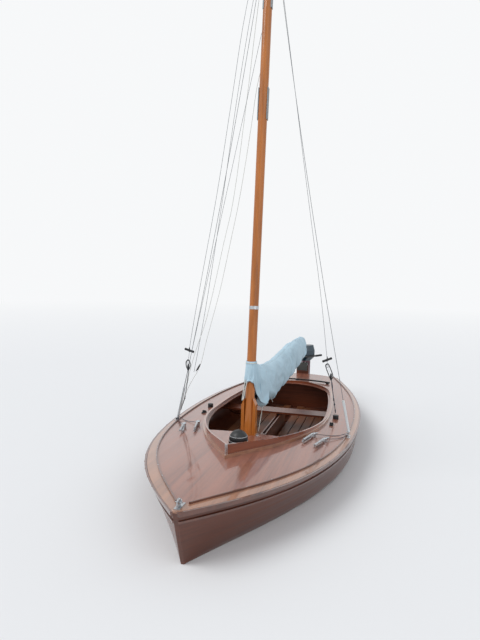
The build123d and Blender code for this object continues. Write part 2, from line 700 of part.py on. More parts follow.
leg = loft([oval(96, 62, 560), oval(90, 56, 250), oval(84, 44, -30), oval(84, 40, -140)])
plate = Pos(leg_x - 40, 0, 0) * Box(220, 120, 8)
gear_len = 230.0
gearcase = Pos(leg_x - 10, 0, PROP_Z) * Rot(0, 90, 0) * Cylinder(27, gear_len - 60)
nose = Pos(leg_x - 10 + (gear_len - 60) / 2, 0, PROP_Z) * Sphere(27)
skeg_fin = extrude(
    Face(Wire(Polyline(
        Vector(leg_x + 40, 0, PROP_Z), Vector(leg_x - 50, 0, PROP_Z),
        Vector(leg_x - 60, 0, PROP_Z - 100), Vector(leg_x - 25, 0, PROP_Z - 105), close=True
    ).edges())), amount=4, both=True, dir=(0, 1, 0))
drive = leg + plate + gearcase + nose + skeg_fin + top_yoke + low_yoke + spindle
save(turn * drive, "motor_leg")

cowl_cx = STEER_X - COWL_BACK
cowl_low = Pos(STEER_X - 50, 0, 566) * RectangleRounded(168, 96, 40).face()
cowl_chin = Pos(cowl_cx, 0, 634) * RectangleRounded(244, 206, 70).face()
cowl_mid = Pos(cowl_cx, 0, 748) * RectangleRounded(244, 206, 70).face()
cowl_high = Pos(cowl_cx - 8, 0, 840) * RectangleRounded(190, 150, 56).face()
cowl = loft([cowl_low, cowl_chin], ruled=True) + loft([cowl_chin, cowl_mid, cowl_high], ruled=True)
save(turn * cowl, "motor_cowl")

# The tiller is folded back along the cowl's port side
TILLER_W = 124.0
tiller_start = Vector(cowl_cx + 90, TILLER_W, 648)
tiller_end = Vector(STEER_X - 292, TILLER_W, 662)
tiller_run = (tiller_end - tiller_start).normalized()
tiller_arm = rod(tiller_start, tiller_end, 13)
grip = rod(tiller_end - tiller_run * 125, tiller_end, 18)
hinge = rod(Vector(cowl_cx + 90, 60, 648), Vector(cowl_cx + 90, TILLER_W + 16, 648), 17)
tiller = (tiller_arm + grip + hinge) - cowl
save(turn * tiller, "motor_tiller")

# Propeller: hub and three blades on the gearcase's shaft
shaft_x = leg_x - 10 - (gear_len - 60) / 2
hub = Pos(shaft_x - 30, 0, PROP_Z) * Rot(0, 90, 0) * Cylinder(22, 50)
blade = Pos(0, 0, 56) * Rot(0, 0, 55) * Box(44, 4, 80)
blades = [Pos(shaft_x - 30, 0, PROP_Z) * Rot(angle, 0, 0) * blade for angle in (0, 120, 240)]
propeller = hub
for piece in blades:
    propeller = propeller + piece
save(turn * propeller, "propeller")
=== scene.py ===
# %% [markdown]
# # A varnished sailing dinghy
# An open wooden boat with a decked foredeck, afloat with its mast up. Its sail is stowed on the boom
# under a pale cloth cover, and a small outboard motor hangs on the stern.
# The solid parts come ready made from the frame. This script dresses them: it gives each one a finish,
# replaces the plain soft bodies with cloth, and adds the rigging and the small fittings.

import json
import math

import bmesh
import bpy
import numpy as np
from mathutils import Matrix, Vector, noise


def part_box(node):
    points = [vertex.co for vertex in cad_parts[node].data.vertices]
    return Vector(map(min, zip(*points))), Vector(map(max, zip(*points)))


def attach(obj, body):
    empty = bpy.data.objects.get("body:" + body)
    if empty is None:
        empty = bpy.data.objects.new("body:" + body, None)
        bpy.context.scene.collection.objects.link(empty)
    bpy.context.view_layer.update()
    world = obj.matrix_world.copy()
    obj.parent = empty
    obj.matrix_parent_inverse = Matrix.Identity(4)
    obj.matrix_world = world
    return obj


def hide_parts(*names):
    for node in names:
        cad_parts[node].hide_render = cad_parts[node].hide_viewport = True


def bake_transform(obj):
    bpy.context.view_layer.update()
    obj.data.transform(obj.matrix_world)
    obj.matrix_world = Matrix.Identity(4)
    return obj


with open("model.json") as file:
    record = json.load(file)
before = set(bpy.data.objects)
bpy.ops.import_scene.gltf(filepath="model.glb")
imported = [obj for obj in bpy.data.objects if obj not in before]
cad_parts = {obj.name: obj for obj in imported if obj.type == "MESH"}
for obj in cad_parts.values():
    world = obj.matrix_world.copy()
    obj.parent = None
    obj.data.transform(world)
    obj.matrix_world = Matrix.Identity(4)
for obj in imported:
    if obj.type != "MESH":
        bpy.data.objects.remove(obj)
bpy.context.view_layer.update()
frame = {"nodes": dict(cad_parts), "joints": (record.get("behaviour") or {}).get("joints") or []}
NODES = frame["nodes"]

# %% [markdown]
# ## The camera
# The eye is ahead of the port bow, about two metres above the waterline. It looks a little down, and
# it is turned about its own axis by a small angle, so that level lines fall a little to the right.

# %% Camera
UP = Vector((0, 0, 1))
EYE = Vector((6.266, 1.329, 2.1))
HEADING = Vector((-0.9634, -0.2681, 0))
LOOK_DOWN = math.radians(5.14)
ASKEW = math.radians(1.25)
LENS_MM = 29.53


def add_object(name, data):
    """An object in the scene that shows its data."""
    made = bpy.data.objects.new(name, data)
    bpy.context.scene.collection.objects.link(made)
    return made


def make_camera():
    forward = (HEADING.normalized() * math.cos(LOOK_DOWN) - UP * math.sin(LOOK_DOWN)).normalized()
    right = forward.cross(UP).normalized()
    up = right.cross(forward)
    tilted_right = right * math.cos(ASKEW) + up * math.sin(ASKEW)
    tilted_up = up * math.cos(ASKEW) - right * math.sin(ASKEW)
    camera = add_object("camera", bpy.data.cameras.new("camera"))
    camera.data.lens = LENS_MM
    turn = Matrix((tilted_right, tilted_up, -forward)).transposed()
    camera.matrix_world = Matrix.Translation(EYE) @ turn.to_4x4()
    bpy.context.scene.camera = camera


make_camera()
print("camera at", tuple(EYE), "lens", LENS_MM, "mm")

# %% [markdown]
# ## Sums on sockets
# A material is a tree of nodes. Writing each Math node by hand is long, so a small class wraps a
# socket: adding or multiplying two of them adds the node that does it. One method, `node`, makes
# every other kind of node, with its settings first and then its sockets.

# %% Shader helper
class Value:
    """A socket in a material, on which sums can be written."""

    def __init__(self, shade, socket):
        self.shade = shade
        self.socket = socket

    def sum_of(self, operation, other):
        return self.shade.node("Math", {"operation": operation}, {0: self, 1: other})

    def __add__(self, other):
        return self.sum_of("ADD", other)

    def __mul__(self, other):
        return self.sum_of("MULTIPLY", other)

    def __gt__(self, other):
        return self.sum_of("GREATER_THAN", other)


def linear(colour, share=1.0, lift=0):
    """A colour written as it is seen, 0 to 255, in the values that light is worked out in."""
    seen = [min(255, part * share + lift) / 255 for part in colour]
    return (*[part / 12.92 if part < 0.04 else ((part + 0.055) / 1.055) ** 2.4 for part in seen], 1.0)


def tell(owner, settings):
    for name, value in settings.items():
        setattr(owner, name, value)


class Shade:
    """A material with one Principled shader."""

    def __init__(self, name):
        self.material = bpy.data.materials.new(name)
        self.material.use_nodes = True
        self.tree = self.material.node_tree
        self.surface = self.tree.nodes["Principled BSDF"]

    def node(self, kind, settings=None, sockets=None, output=0):
        made = self.tree.nodes.new("ShaderNode" + kind)
        tell(made, settings or {})
        for name, value in (sockets or {}).items():
            self.feed(made.inputs[name], value)
        return Value(self, made.outputs[output])

    def feed(self, socket, value):
        if isinstance(value, Value):
            self.tree.links.new(value.socket, socket)
        else:
            socket.default_value = value

    def set(self, **sockets):
        for name, value in sockets.items():
            self.feed(self.surface.inputs[name.replace("_", " ")], value)

    def place(self, scale, turn=(0, 0, 0), source="Object"):
        """Where a point is, turned and then counted in cells per metre."""
        at = self.node("TexCoord", output=source)
        return self.node("Mapping", {"vector_type": "POINT"}, {0: at, "Rotation": turn, "Scale": scale})

    def noise(self, cells, detail, rough=0.55, turn=(0, 0, 0)):
        """Noise of so many cells per metre along X, Y and Z."""
        sockets = {"Vector": self.place(cells, turn), "Scale": 1.0, "Detail": detail, "Roughness": rough}
        return self.node("TexNoise", {}, sockets)

    def ramp(self, value, low, high):
        """0 below low, 1 above high, and even in between."""
        return self.node("MapRange", {"clamp": True}, {0: value, 1: low, 2: high, 3: 0.0, 4: 1.0})

    def mix(self, share, first, second):
        return self.node("Mix", {"data_type": "RGBA"}, {0: share, 6: first, 7: second}, 2)

    def bump(self, height, distance, strength):
        return self.node("Bump", {}, {"Height": height, "Distance": distance, "Strength": strength})


print("shader helper ready")

# %% [markdown]
# ## Floor, backdrop and light
# The boat floats, so the floor lies at its waterline, as a plain pale sheet. It has a hole in the shape
# of the hull there, read off the hull's own mesh, or the floor would show inside the cockpit. It fades
# into the white backdrop with distance. Two broad lamps from ahead and an even sky light it softly.

# %% Waterline
FLOOR_RADIUS = 90.0
LINE_STEPS = 72
END_INSET, SIDE_INSET = 0.002, 0.003
TRIANGLES = {}


def triangles_of(node):
    """The corners of a node's triangles, read once."""
    if node not in TRIANGLES:
        mesh = NODES[node].data
        mesh.calc_loop_triangles()
        points = np.array([v.co for v in mesh.vertices])
        TRIANGLES[node] = points[[list(triangle.vertices) for triangle in mesh.loop_triangles]]
    return TRIANGLES[node]


def cuts(node, axis, level):
    """Where the plane at a level of an axis cuts a node: pairs of points."""
    corners = triangles_of(node)
    sides = corners[:, :, axis] - level
    crossed = (sides.min(1) < 0) & (sides.max(1) > 0)
    pairs = []
    for triangle, side in zip(corners[crossed], sides[crossed]):
        found = []
        for i, j in ((0, 1), (1, 2), (2, 0)):
            if side[i] * side[j] < 0:
                share = side[i] / (side[i] - side[j])
                found.append(triangle[i] + (triangle[j] - triangle[i]) * share)
        if len(found) == 2:
            pairs.append(found)
    return np.array(pairs)


def waterline():
    """The hull's outline at the waterline, from the bow round the port side to the stern."""
    pairs = cuts("hull", 2, 0.0)
    low, high = pairs[:, :, 0].min(1), pairs[:, :, 0].max(1)
    bow, stern = high.max(), low.min()
    line = []
    for x in np.linspace(bow - END_INSET, stern + END_INSET, LINE_STEPS):
        near = pairs[(low <= x) & (high >= x)]
        start, end = near[:, 0], near[:, 1]
        run = end[:, 0] - start[:, 0]
        share = np.where(np.abs(run) > 1e-9, (x - start[:, 0]) / np.where(run == 0, 1, run), 0.5)
        wide = np.abs(start[:, 1] + (end[:, 1] - start[:, 1]) * share).max()
        line.append(Vector((x, wide - SIDE_INSET, 0)))
    return [Vector((bow, 0, 0)), *line, Vector((stern, 0, 0))]


half = waterline()
outline = half + [Vector((p.x, -p.y, 0)) for p in reversed(half[1:-1])]
print("waterline:", len(outline), "points, widest", round(max(p.y for p in half) * 2, 3), "m")

# %% Floor and backdrop
FLOOR_COLOUR = (0.80, 0.81, 0.82, 1.0)
BACKDROP = (0.93, 0.94, 0.95, 1.0)
SKY = (0.60, 0.61, 0.63, 1.0)
FADE_FROM, FADE_TO = 7.0, 30.0


def make_mesh(name, points, faces, finish=None, smooth=True):
    mesh = bpy.data.meshes.new(name)
    mesh.from_pydata([tuple(p) for p in points], [], faces)
    mesh.polygons.foreach_set("use_smooth", [smooth] * len(mesh.polygons))
    if finish is not None:
        mesh.materials.append(finish.material)
    return add_object(name, mesh)


def seen_rays(tree):
    """1 for what the camera sees, straight or by a mirror or through glass."""
    path = tree.nodes.new("ShaderNodeLightPath")
    share = path.outputs["Is Camera Ray"]
    for name in ("Is Glossy Ray", "Is Transmission Ray"):
        most = tree.nodes.new("ShaderNodeMath")
        most.operation = "MAXIMUM"
        tree.links.new(share, most.inputs[0])
        tree.links.new(path.outputs[name], most.inputs[1])
        share = most.outputs[0]
    return share


def make_floor():
    rim = []
    for point in outline:
        angle = math.atan2(point.y, point.x)
        rim.append(Vector((FLOOR_RADIUS * math.cos(angle), FLOOR_RADIUS * math.sin(angle), 0)))
    count = len(outline)
    faces = [(i, count + i, count + (i + 1) % count, (i + 1) % count) for i in range(count)]
    shade = Shade("pale_floor")
    shade.set(Base_Color=FLOOR_COLOUR, Roughness=0.9, Emission_Color=BACKDROP)
    far = shade.node("VectorMath", {"operation": "LENGTH"}, {0: shade.place((1, 1, 0))}, "Value")
    fade = shade.ramp(far, FADE_FROM, FADE_TO) * Value(shade, seen_rays(shade.tree))
    glow = shade.node("Emission", {}, {"Color": BACKDROP})
    plain = Value(shade, shade.surface.outputs[0])
    both = shade.node("MixShader", {}, {0: fade, 1: plain, 2: glow})
    shade.feed(shade.tree.nodes["Material Output"].inputs["Surface"], both)
    floor = make_mesh("floor", [*outline, *rim], faces, shade, smooth=False)
    return floor


def make_sky():
    world = bpy.data.worlds.new("studio")
    bpy.context.scene.world = world
    world.use_nodes = True
    tree = world.node_tree
    mix = tree.nodes.new("ShaderNodeMix")
    mix.data_type = "RGBA"
    mix.inputs[6].default_value = SKY
    mix.inputs[7].default_value = BACKDROP
    tree.links.new(seen_rays(tree), mix.inputs[0])
    tree.links.new(mix.outputs[2], tree.nodes["Background"].inputs["Color"])


def make_lamp(name, strength, size, aim):
    """A soft lamp as wide as size degrees that shines along aim."""
    lamp = bpy.data.lights.new(name, "SUN")
    lamp.energy = strength
    lamp.angle = math.radians(size)
    made = add_object(name, lamp)
    made.rotation_mode = "QUATERNION"
    made.rotation_quaternion = Vector(aim).to_track_quat("-Z", "Y")


floor = make_floor()
make_sky()
make_lamp("key_lamp", 1.5, 35, (-0.55, 0.75, -1.0))
make_lamp("fill_lamp", 0.5, 60, (-0.8, -0.9, -0.6))
bpy.context.scene.view_settings.view_transform = "Standard"
print("floor with", len(floor.data.polygons), "faces and two lamps")

# %% [markdown]
# ## Varnished wood
# Mahogany under many coats of varnish: long straight streaks along each board, a slow drift of
# lighter and redder wood, and short dark pores, all beneath a smooth clear coat that mirrors what
# is above it. The streaks are noise squeezed along the grain. On an upright plank the pattern
# ignores the distance across the boat, so that the grain follows the curved side.

# %% Wood finishes
def wood(name, pale, deep, grain, turn=(0, 0, 0), gloss=0.06, coat=1.0, pore=0.35, sheen=0.5):
    """grain is cells per metre along X, Y and Z, and turn lines it up with a leaning board."""
    shade = Shade(name)
    streaks = shade.noise(grain, 6.0, 0.62, turn)
    ribbons = shade.noise(tuple(g * 0.22 for g in grain), 3.0, 0.5, turn)
    pores = shade.noise(tuple(g * 9.0 for g in grain), 2.0, 0.5, turn)
    body = shade.mix(shade.ramp(streaks, 0.34, 0.68), linear(deep), linear(pale))
    warm = shade.mix(shade.ramp(ribbons, 0.35, 0.65) * 0.45, body, linear(pale, 1.12))
    dots = shade.ramp(pores, 0.60, 0.72) * pore
    shade.set(
        Base_Color=shade.mix(dots, warm, linear(deep, 0.55)),
        Roughness=shade.ramp(streaks, 0.3, 0.7) * 0.15 + 0.35,
        Coat_Weight=coat,
        Coat_Roughness=gloss,
        Specular_IOR_Level=sheen,
        Normal=shade.bump(streaks + pores * 0.3, 0.0004, 0.35),
    )
    return shade


ALONG = (1.3, 34.0, 34.0)
UPRIGHT = (1.1, 0.5, 38.0)
ATHWART = (8.0, 1.2, 38.0)
MAST_SLOPE = 0.088
MAST_LEAN = math.atan(MAST_SLOPE)

deck_wood = wood("deck_mahogany", (146, 94, 76), (108, 60, 44), ALONG, coat=0.8)
side_wood = wood("side_mahogany", (92, 45, 26), (62, 28, 15), UPRIGHT, coat=0.6, sheen=0.3)
inner_wood = wood("inner_mahogany", (92, 46, 26), (60, 29, 16), UPRIGHT, gloss=0.2, coat=0.4, sheen=0.3)
across_wood = wood("athwart_mahogany", (108, 53, 30), (74, 34, 18), ATHWART, gloss=0.2, coat=0.4, sheen=0.3)
coaming_wood = wood("coaming_mahogany", (140, 72, 38), (98, 44, 22), UPRIGHT)
margin_wood = wood("margin_mahogany", (160, 114, 88), (126, 84, 62), ALONG)
rail_wood = wood("rail_mahogany", (100, 52, 34), (68, 33, 20), ALONG)
SPARS = {"pale": (178, 106, 42), "deep": (142, 80, 28), "pore": 0.2, "coat": 0.45, "sheen": 0.3}
mast_wood = wood("mast_spruce", grain=(30.0, 30.0, 0.9), turn=(0, MAST_LEAN, 0), **SPARS)
boom_wood = wood("boom_spruce", grain=(0.9, 30.0, 30.0), **SPARS)
board_wood = wood("floor_boards", (108, 64, 38), (74, 40, 23), ALONG, gloss=0.4, coat=0.25, sheen=0.3)
print("wood finishes made")

# %% [markdown]
# ## Metal, plastic and paint
# Stainless fittings are bright with a faint drawn finish. Castings are duller. The plastics are matt
# with a fine moulded texture. The motor is painted, with a glossy cowl.

# %% Metal, plastic and paint
def metal(name, colour, rough):
    shade = Shade(name)
    marks = shade.noise((60.0,) * 3, 5.0)
    shade.set(
        Base_Color=shade.mix(shade.ramp(marks, 0.3, 0.7), linear(colour, 0.86), linear(colour)),
        Metallic=1.0,
        Roughness=shade.ramp(marks, 0.3, 0.7) * 0.14 + rough,
        Normal=shade.bump(marks, 0.0003, 0.3),
    )
    return shade


def moulded(name, colour, rough, coat=0.0, grime=0.25, grain=900.0):
    shade = Shade(name)
    fine = shade.noise((grain,) * 3, 2.0)
    dirt = shade.ramp(shade.noise((9.0, 9.0, 6.0), 5.0), 0.45, 0.75) * grime
    shade.set(
        Base_Color=shade.mix(dirt, linear(colour), linear(colour, 0.6, 12)),
        Roughness=dirt * 0.3 + rough,
        Coat_Weight=coat,
        Coat_Roughness=0.12,
        Normal=shade.bump(fine, 0.0003, 0.25),
    )
    return shade


steel = metal("stainless", (196, 200, 204), 0.22)
wire = metal("wire_rope", (120, 124, 128), 0.38)
alloy = metal("grey_alloy", (140, 143, 146), 0.42)
black = moulded("black_plastic", (22, 24, 27), 0.45)
white_plastic = moulded("white_plastic", (206, 212, 214), 0.42)
cowl_paint = moulded("cowl_teal", (18, 50, 66), 0.32, coat=0.6)
leg_paint = moulded("leg_maroon", (86, 30, 48), 0.36, coat=0.4)
clamp_paint = moulded("clamp_grey", (66, 69, 68), 0.5, grime=0.45)
print("metal, plastic and paint made")

# %% Dress the frame's nodes
DRESS = (
    (side_wood, "hull keel"),
    (deck_wood, "deck"),
    (rail_wood, "rub_rails side_strakes toe_rails"),
    (margin_wood, "covering_boards coaming_moulding"),
    (coaming_wood, "breakwater coaming"),
    (across_wood, "transom mast_frame aft_bulkhead thwart motor_pad"),
    (inner_wood, "ribs centreboard_case centreboard thwart_risers"),
    (board_wood, "floorboards"),
    (mast_wood, "mast mast_cheeks"),
    (boom_wood, "boom"),
    (steel, "centreboard_pin mast_fittings gooseneck boom_end_fitting chainplates bow_fitting stay_levers"),
    (wire, "shrouds forestay"),
    (alloy, "mast_plates propeller"),
    (white_plastic, "shroud_tubes"),
    (black, "compass traveller deck_blocks motor_tiller"),
    (clamp_paint, "motor_clamp swivel_bracket"),
    (leg_paint, "motor_leg"),
    (cowl_paint, "motor_cowl"),
)

dressed = set()
for finish, names in DRESS:
    for node in names.split():
        NODES[node].data.materials.clear()
        NODES[node].data.materials.append(finish.material)
        dressed.add(node)
print("dressed", len(dressed), "nodes; left:", sorted(set(NODES) - dressed))

# %% [markdown]
# ## Building shapes in code
# The fittings are turned, bent and cast pieces, so a few builders cover nearly all of them: a round
# bar along a path, a turned profile about an axis, a ring, and a block with rounded edges. They are
# gathered in one mesh per piece, which then rides on the body that carries it.

# %% Shape builders
def axes_of(direction):
    """Two directions across a given one, and that one."""
    along = Vector(direction).normalized()
    side = UP.cross(along)
    if side.length < 1e-4:
        side = Vector((1, 0, 0)).cross(along)
    side.normalize()
    return side, along.cross(side), along


def around(side, up, count):
    """Steps of one metre out from an axis, evenly round it."""
    turns = [math.tau * j / count for j in range(count)]
    return [side * math.cos(t) + up * math.sin(t) for t in turns]


def through(points, steps):
    """A smooth path through points, steps to each gap."""
    pts = [Vector(p) for p in points]
    ends = [pts[0] * 2 - pts[1], *pts, pts[-1] * 2 - pts[-2]]
    path = []
    for a, b, c, d in zip(ends, ends[1:], ends[2:], ends[3:]):
        bend, twist = 2 * a - 5 * b + 4 * c - d, 3 * b - a - 3 * c + d
        for t in [i / steps for i in range(steps)]:
            path.append(0.5 * (2 * b + (c - a) * t + bend * t**2 + twist * t**3))
    return [*path, pts[-1]]


class Shape:
    """Points and faces of one piece, gathered from simple solids."""

    def __init__(self):
        self.points = []
        self.faces = []

    def add(self, points, faces):
        start = len(self.points)
        self.points += [Vector(p) for p in points]
        self.faces += [tuple(start + i for i in face) for face in faces]
        return self

    def rings(self, rings, closed=False):
        """A skin over rings of equally many points, capped at its two ends."""
        sides, count = len(rings[0]), len(rings)
        faces = []
        for i in range(count if closed else count - 1):
            a, b = i * sides, (i + 1) % count * sides
            faces += [(a + j, a + (j + 1) % sides, b + (j + 1) % sides, b + j) for j in range(sides)]
        if not closed:
            faces.append(tuple(reversed(range(sides))))
            faces.append(tuple((count - 1) * sides + j for j in range(sides)))
        return self.add([p for ring in rings for p in ring], faces)

    def bar(self, path, radius, sides=10, closed=False):
        """A round bar along a path. radius is one number, or one for each point."""
        path = [Vector(p) for p in path]
        sizes = radius if isinstance(radius, (list, tuple)) else [radius] * len(path)
        side = None
        rings = []
        for i, (p, r) in enumerate(zip(path, sizes)):
            before = path[i - 1] if i or closed else p
            after = path[(i + 1) % len(path)] if i + 1 < len(path) or closed else p
            along = (after - before).normalized()
            side = axes_of(along)[0] if side is None else (side - along * side.dot(along)).normalized()
            rings.append([p + way * r for way in around(side, along.cross(side), sides)])
        return self.rings(rings, closed)

    def turned(self, foot, axis, profile, sides):
        """A profile of (radius, height) pairs, turned about an axis from its foot."""
        side, up, along = axes_of(axis)
        ways = around(side, up, sides)
        foot = Vector(foot)
        return self.rings([[foot + along * h + way * max(r, 1e-4) for way in ways] for r, h in profile])

    def ring(self, centre, axis, radius, thick, sides, steps):
        side, up, _ = axes_of(axis)
        path = [Vector(centre) + way * radius for way in around(side, up, steps)]
        return self.bar(path, thick, sides, closed=True)

    def block(self, centre, size, axes=None, edge=0.002):
        """A box with rounded edges. axes are its own three directions."""
        made = bmesh.new()
        bmesh.ops.create_cube(made, size=1.0)
        bmesh.ops.scale(made, vec=Vector(size), verts=made.verts)
        bmesh.ops.bevel(made, geom=made.edges[:], offset=edge, segments=2, profile=0.5, affect="EDGES")
        turn = Matrix(axes).transposed() if axes else Matrix.Identity(3)
        made.verts.index_update()
        points = [Vector(centre) + turn @ v.co for v in made.verts]
        faces = [tuple(v.index for v in face.verts) for face in made.faces]
        made.free()
        return self.add(points, faces)

    def mesh(self, name, finish=None):
        return make_mesh(name, self.points, self.faces, finish)

    def piece(self, name, body, slot, finish):
        """The shape as a piece that rides on a body, smooth but for its sharp edges."""
        made = self.mesh(name, finish)
        made.data.set_sharp_from_angle(angle=math.radians(40))
        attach(made, body)


print("shape builders ready")

# %% [markdown]
# ## Cloth
# The cover is an old cloth with a fine weave and patches of grime. Its colour is a pale grey-white with a
# painted blue tint, which stands in for the cool skylight falling on it. It is two sheets: a long one over
# the boom and the folded sail, open underneath and laced, and a hood round the mast whose back lies over
# the long sheet's front. Each starts as a grid wrapped round the solid that the frame gives for it, so
# that it lies where that solid is. Then it is let go as cloth over a plain bundle, with its hem held
# where the ties are, and gravity makes the folds.

# %% Cloth finish
THREADS_A_METRE, STITCHES_A_METRE = 420.0, 150.0
STITCH_GAP, SEAM_HALF = 0.4, 0.0011
# The cover's pale colour holds a painted blue skylight tint. The grime and seam colour after it holds the
# same painted blue.
COVER_PALE_SKY_TINTED, COVER_GRIME_SKY_TINTED = (178, 207, 222), (132, 154, 164)


def cloth(name, seams, along=0):
    """Woven cloth on its own UV map, in metres, with stitched seams across one of its ways."""
    shade = Shade(name)
    warp, weft = [
        shade.node(
            "TexWave", {"wave_type": "BANDS", "bands_direction": way},
            {"Vector": shade.place((THREADS_A_METRE,) * 3, source="UV"), "Scale": 0.5, "Distortion": 0.6}, 1,
        )
        for way in "XY"
    ]
    weave = warp * weft
    patches, specks = shade.noise((2.6, 4.0, 4.0), 6.0, 0.6), shade.noise((36.0,) * 3, 3.0, 0.6)
    dirt = shade.ramp(patches, 0.45, 0.78) * 0.45 + shade.ramp(specks, 0.62, 0.80) * 0.25
    tinted = shade.mix(dirt, linear(COVER_PALE_SKY_TINTED), linear(COVER_GRIME_SKY_TINTED))
    layout = shade.place((1.0, 1.0, 1.0), source="UV")
    across, run = [shade.node("SeparateXYZ", {}, {0: layout}, way) for way in (along, 1 - along)]
    dash = shade.node("Math", {"operation": "FRACT"}, {0: run * STITCHES_A_METRE}) > STITCH_GAP
    for level in seams:
        line = shade.node("Math", {"operation": "COMPARE"}, {0: across, 1: level, 2: SEAM_HALF})
        tinted = shade.mix(line * dash * 0.8, tinted, linear(COVER_GRIME_SKY_TINTED, 0.55))
    shade.set(
        Base_Color=shade.mix(weave * 0.10, tinted, linear(COVER_PALE_SKY_TINTED, 0.82)),
        Roughness=weave * 0.08 + 0.82,
        Sheen_Weight=0.15,
        Normal=shade.bump(weave * 0.03 + shade.noise((9.0, 13.0, 13.0), 4.0, 0.5), 0.02, 0.55),
    )
    return shade


cover_cloth = cloth("cover_cloth", (0.022, 0.03, 0.44, 0.448))
hood_cloth = cloth("hood_cloth", (0.022, 0.03), along=1)
tie_cord = moulded("tie_cord", (206, 208, 202), 0.8, grime=0.3, grain=1500.0)
dark_cord = moulded("dark_cord", (34, 40, 54), 0.75, grime=0.3, grain=1500.0)
print("cloth finishes made")

# %% Cloth sheets
SHEET_T, CLEAR, SLACK = 0.0016, 0.004, 0.06


def grid_sheet(name, rows, finish, closed=False):
    """A sheet over rows of points, with a UV map in metres measured along the sheet itself."""
    count, across = len(rows), len(rows[0])
    last = across if closed else across - 1
    faces = [
        (i * across + j, i * across + k, (i + 1) * across + k, (i + 1) * across + j)
        for i in range(count - 1)
        for j, k in ((j, (j + 1) % across) for j in range(last))
    ]
    sheet = make_mesh(name, [p for row in rows for p in row], faces, finish)
    grid = np.array([[tuple(p) for p in row] for row in rows])
    u = np.concatenate([[0], np.cumsum(np.linalg.norm(np.diff(grid.mean(0), axis=0), axis=1))])
    v = np.concatenate([[0], np.cumsum(np.linalg.norm(np.diff(grid.mean(1), axis=0), axis=1))])
    layer = sheet.data.uv_layers.new(name="cloth")
    for loop in sheet.data.loops:
        i, j = divmod(loop.vertex_index, across)
        layer.data[loop.index].uv = (u[j], v[i])
    return sheet


def applied(piece):
    """Puts a piece's modifiers into its mesh."""
    graph = bpy.context.evaluated_depsgraph_get()
    made = bpy.data.meshes.new_from_object(piece.evaluated_get(graph), depsgraph=graph)
    piece.modifiers.clear()
    piece.data = made
    return made


def thicken(piece, offset):
    """Rounds a sheet once more and gives it its thickness: offset is -1 for inwards, 0 for both ways."""
    for kind, settings in (
        ("SUBSURF", {"levels": 1, "render_levels": 1}),
        ("SOLIDIFY", {"thickness": SHEET_T, "offset": offset, "use_rim": True}),
    ):
        tell(piece.modifiers.new(kind.lower(), kind), settings)
    made = applied(piece)
    made.polygons.foreach_set("use_smooth", [True] * len(made.polygons))


def rumple(piece, deep, seed):
    """Pushes a sheet in and out along slanting creases, up to deep."""
    for vertex, normal in zip(piece.data.vertices, [n.vector.copy() for n in piece.data.vertex_normals]):
        x, y, z = vertex.co
        side = 1.5 if y > 0 else -1.5
        broad = noise.noise(Vector((x * 3.4 + z * 5.0, z * 3.0 - x * 1.2, side + seed)))
        sharp = 1 - 2.6 * abs(noise.noise(Vector((x * 6.0 - z * 9.0, z * 7.0 + x * 2.0, side * 2 + seed))))
        vertex.co += normal * deep * (0.55 * broad + 0.45 * sharp)
    piece.data.update()


def settle(piece, bundle, held, frames, cap):
    """Lets a sheet fall over a bundle as cloth, held at some points, and no point further than cap."""
    start = np.array([v.co for v in piece.data.vertices])
    piece.vertex_groups.new(name="held").add(sorted(held), 1.0, "REPLACE")
    bundle.modifiers.new("collision", "COLLISION")
    tell(bundle.collision, {"thickness_outer": CLEAR, "cloth_friction": 30.0})
    modifier = piece.modifiers.new("cloth", "CLOTH")
    tell(modifier.settings, {
        "quality": 7, "mass": 0.25, "tension_stiffness": 12.0, "compression_stiffness": 12.0,
        "shear_stiffness": 5.0, "bending_stiffness": 0.35, "air_damping": 2.0,
        "vertex_group_mass": "held", "shrink_min": -SLACK,
    })
    modifier.collision_settings.distance_min = CLEAR
    modifier.point_cache.frame_end = frames
    scene = bpy.context.scene
    for step in range(1, frames + 1):
        scene.frame_set(step)
    graph = bpy.context.evaluated_depsgraph_get()
    fallen = piece.evaluated_get(graph).to_mesh()
    moved = np.array([v.co for v in fallen.vertices]) - start
    piece.evaluated_get(graph).to_mesh_clear()
    piece.modifiers.remove(modifier)
    scene.frame_set(1)
    length = np.linalg.norm(moved, axis=1, keepdims=True)
    moved *= np.minimum(1.0, cap / np.maximum(length, 1e-9))
    piece.data.vertices.foreach_set("co", (start + moved).ravel())
    piece.data.update()
    bpy.data.objects.remove(bundle)
    return float(length.max())


print("cloth helpers ready")

# %% [markdown]
# ## The long sheet over the boom
# Its section at each place is the frame's solid there. The folded sail fills the upper part, so the
# cloth lies smooth along the ridge and hangs slack below it, gathered at each tie.

# %% Long sheet
COVER_ROWS, COVER_COLUMNS = 118, 46
COVER_GAP, PEAR = 0.10, 0.10
TIE_EVERY, NEAR_TIE = 0.56, 0.02
low_corner, high_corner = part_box("sail_cover")


def section(node, x):
    """Half width, top and bottom of a node at x."""
    found = cuts(node, 0, x).reshape(-1, 3)
    return float(np.abs(found[:, 1]).max()), float(found[:, 2].max()), float(found[:, 2].min())


places = np.linspace(high_corner.x - 0.004, low_corner.x + 0.004, COVER_ROWS)
SECTIONS = [(x, *section("sail_cover", x)) for x in places]


def cover_point(x, half, top, low, share, grow):
    """A point of the section at x. share is -1 at one hem, 0 at the ridge and 1 at the other hem."""
    turn = share * math.pi * (1 - COVER_GAP)
    tall = (top - low) / 2
    wide = (half + grow) * (1 + PEAR * (1 - math.cos(turn)) / 2 - PEAR * 0.5)
    return Vector((x, wide * math.sin(turn), (top + low) / 2 + (tall + grow) * math.cos(turn)))


